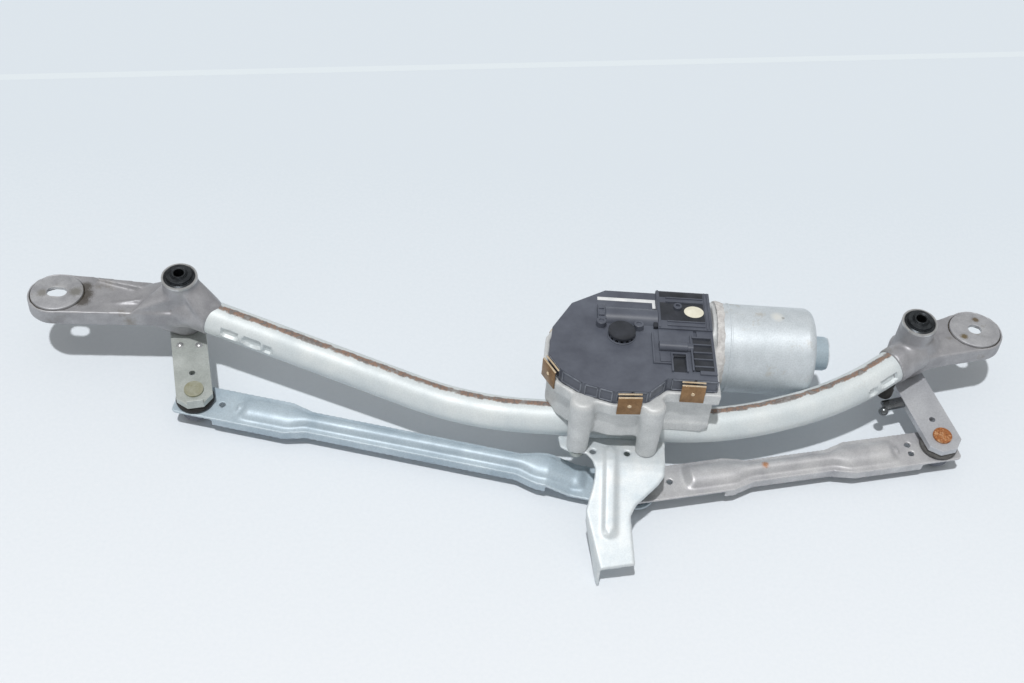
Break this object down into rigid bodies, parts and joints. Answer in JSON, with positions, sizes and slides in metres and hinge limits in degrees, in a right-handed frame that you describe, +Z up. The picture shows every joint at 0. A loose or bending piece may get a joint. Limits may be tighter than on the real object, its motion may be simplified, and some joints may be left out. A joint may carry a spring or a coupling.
{
  "type": "wiper linkage",
  "caption": "Vehicle wiper linkage: bent tube frame with cast pivot housings, a geared motor on a bracket, and rods with ball joints that swing the spindle levers together.",
  "frame": {"origin": "centre of the footprint, on the ground plane under the bracket's lowest tip", "axes": "+Z up along the wiper spindles, +X along the spindle line towards the motor can, +Y from the bracket's foot towards the motor"},
  "size_m": [0.648, 0.2081, 0.0863],
  "materials": {
    "galvanised": "galvanised, dull",
    "cast_aluminium": "as cast",
    "zinc_steel": "zinc plated",
    "grey_steel": "zinc plated, aged",
    "dark_steel": "blackened",
    "rubber": "matt",
    "black_plastic": "moulded",
    "white_plastic": "moulded",
    "bronze": "dull",
    "ferrite": "matt",
    "board": "matt"
  },
  "bodies": {
    "frame": {"frame_tube": "galvanised", "left_pivot_housing": "cast_aluminium", "right_pivot_housing": "cast_aluminium", "left_ear_ring": "rubber", "right_ear_ring": "rubber", "left_ear_disc": "zinc_steel", "right_ear_disc": "zinc_steel", "left_spindle_bushes": "bronze", "right_spindle_bushes": "bronze", "left_rim_seal": "rubber", "right_rim_seal": "rubber", "rubber_buffer": "rubber", "gear_housing": "cast_aluminium", "cover_gasket": "rubber", "gear_cover": "black_plastic", "cover_cap": "black_plastic", "cover_clips": "bronze", "shaft_bush": "bronze", "motor_can": "galvanised", "can_sealant": "white_plastic", "field_magnets": "ferrite", "brush_plate": "board", "can_bearing": "bronze", "saddle_rivets": "zinc_steel", "support_bracket": "galvanised", "bracket_screws": "zinc_steel"},
    "armature": {"armature": "grey_steel"},
    "crank": {"output_shaft": "grey_steel", "worm_wheel": "white_plastic", "crank": "zinc_steel", "crank_nut": "zinc_steel", "rod_pin": "grey_steel", "pin_clip": "dark_steel"},
    "left_lever": {"left_spindle": "dark_steel", "left_lever": "zinc_steel", "left_ball_stud": "zinc_steel", "left_spindle_clip": "dark_steel"},
    "right_lever": {"right_spindle": "dark_steel", "right_lever": "grey_steel", "right_ball_stud": "zinc_steel", "right_spindle_clip": "dark_steel"},
    "left_rod": {"left_rod": "zinc_steel", "left_socket": "black_plastic", "left_socket_seal": "rubber", "left_rod_bush": "black_plastic"},
    "right_rod": {"right_rod": "grey_steel", "right_socket": "black_plastic", "right_socket_seal": "rubber", "right_rod_bush": "black_plastic"}
  },
  "joints": [
    {"name": "armature_spin", "type": "hinge", "parent": "frame", "child": "armature", "pos_m": [0.1, 0.05561, 0.04332], "axis": [1, 0, 0], "range_deg": [-2400, 2400]},
    {"name": "crank_turn", "type": "hinge", "parent": "frame", "child": "crank", "pos_m": [0.058, 0.02, 0.01585], "axis": [0, 0.1219, 0.9925], "range_deg": [-40, 40]},
    {"name": "left_lever_turn", "type": "hinge", "parent": "frame", "child": "left_lever", "pos_m": [-0.223, 0.065, 0.045], "axis": [0, 0, 1], "range_deg": [-41.3, 41.3]},
    {"name": "right_lever_turn", "type": "hinge", "parent": "frame", "child": "right_lever", "pos_m": [0.257, 0.065, 0.045], "axis": [0, 0, 1], "range_deg": [-40, 40]},
    {"name": "left_rod_turn", "type": "hinge", "parent": "left_lever", "child": "left_rod", "pos_m": [-0.20921, 0.00969, 0.011], "axis": [0, 0, 1], "range_deg": [-41, 41]},
    {"name": "right_rod_turn", "type": "hinge", "parent": "right_lever", "child": "right_rod", "pos_m": [0.27554, 0.00794, 0.011], "axis": [0, 0, 1], "range_deg": [-40, 40]}
  ],
  "couplings": [
    {"joint": "crank_turn", "follows": "armature_spin", "ratio": 0.016667},
    {"joint": "left_lever_turn", "follows": "armature_spin", "ratio": 0.017193},
    {"joint": "right_lever_turn", "follows": "armature_spin", "ratio": 0.016667},
    {"joint": "left_rod_turn", "follows": "armature_spin", "ratio": -0.017027},
    {"joint": "right_rod_turn", "follows": "armature_spin", "ratio": -0.016633}
  ]
}
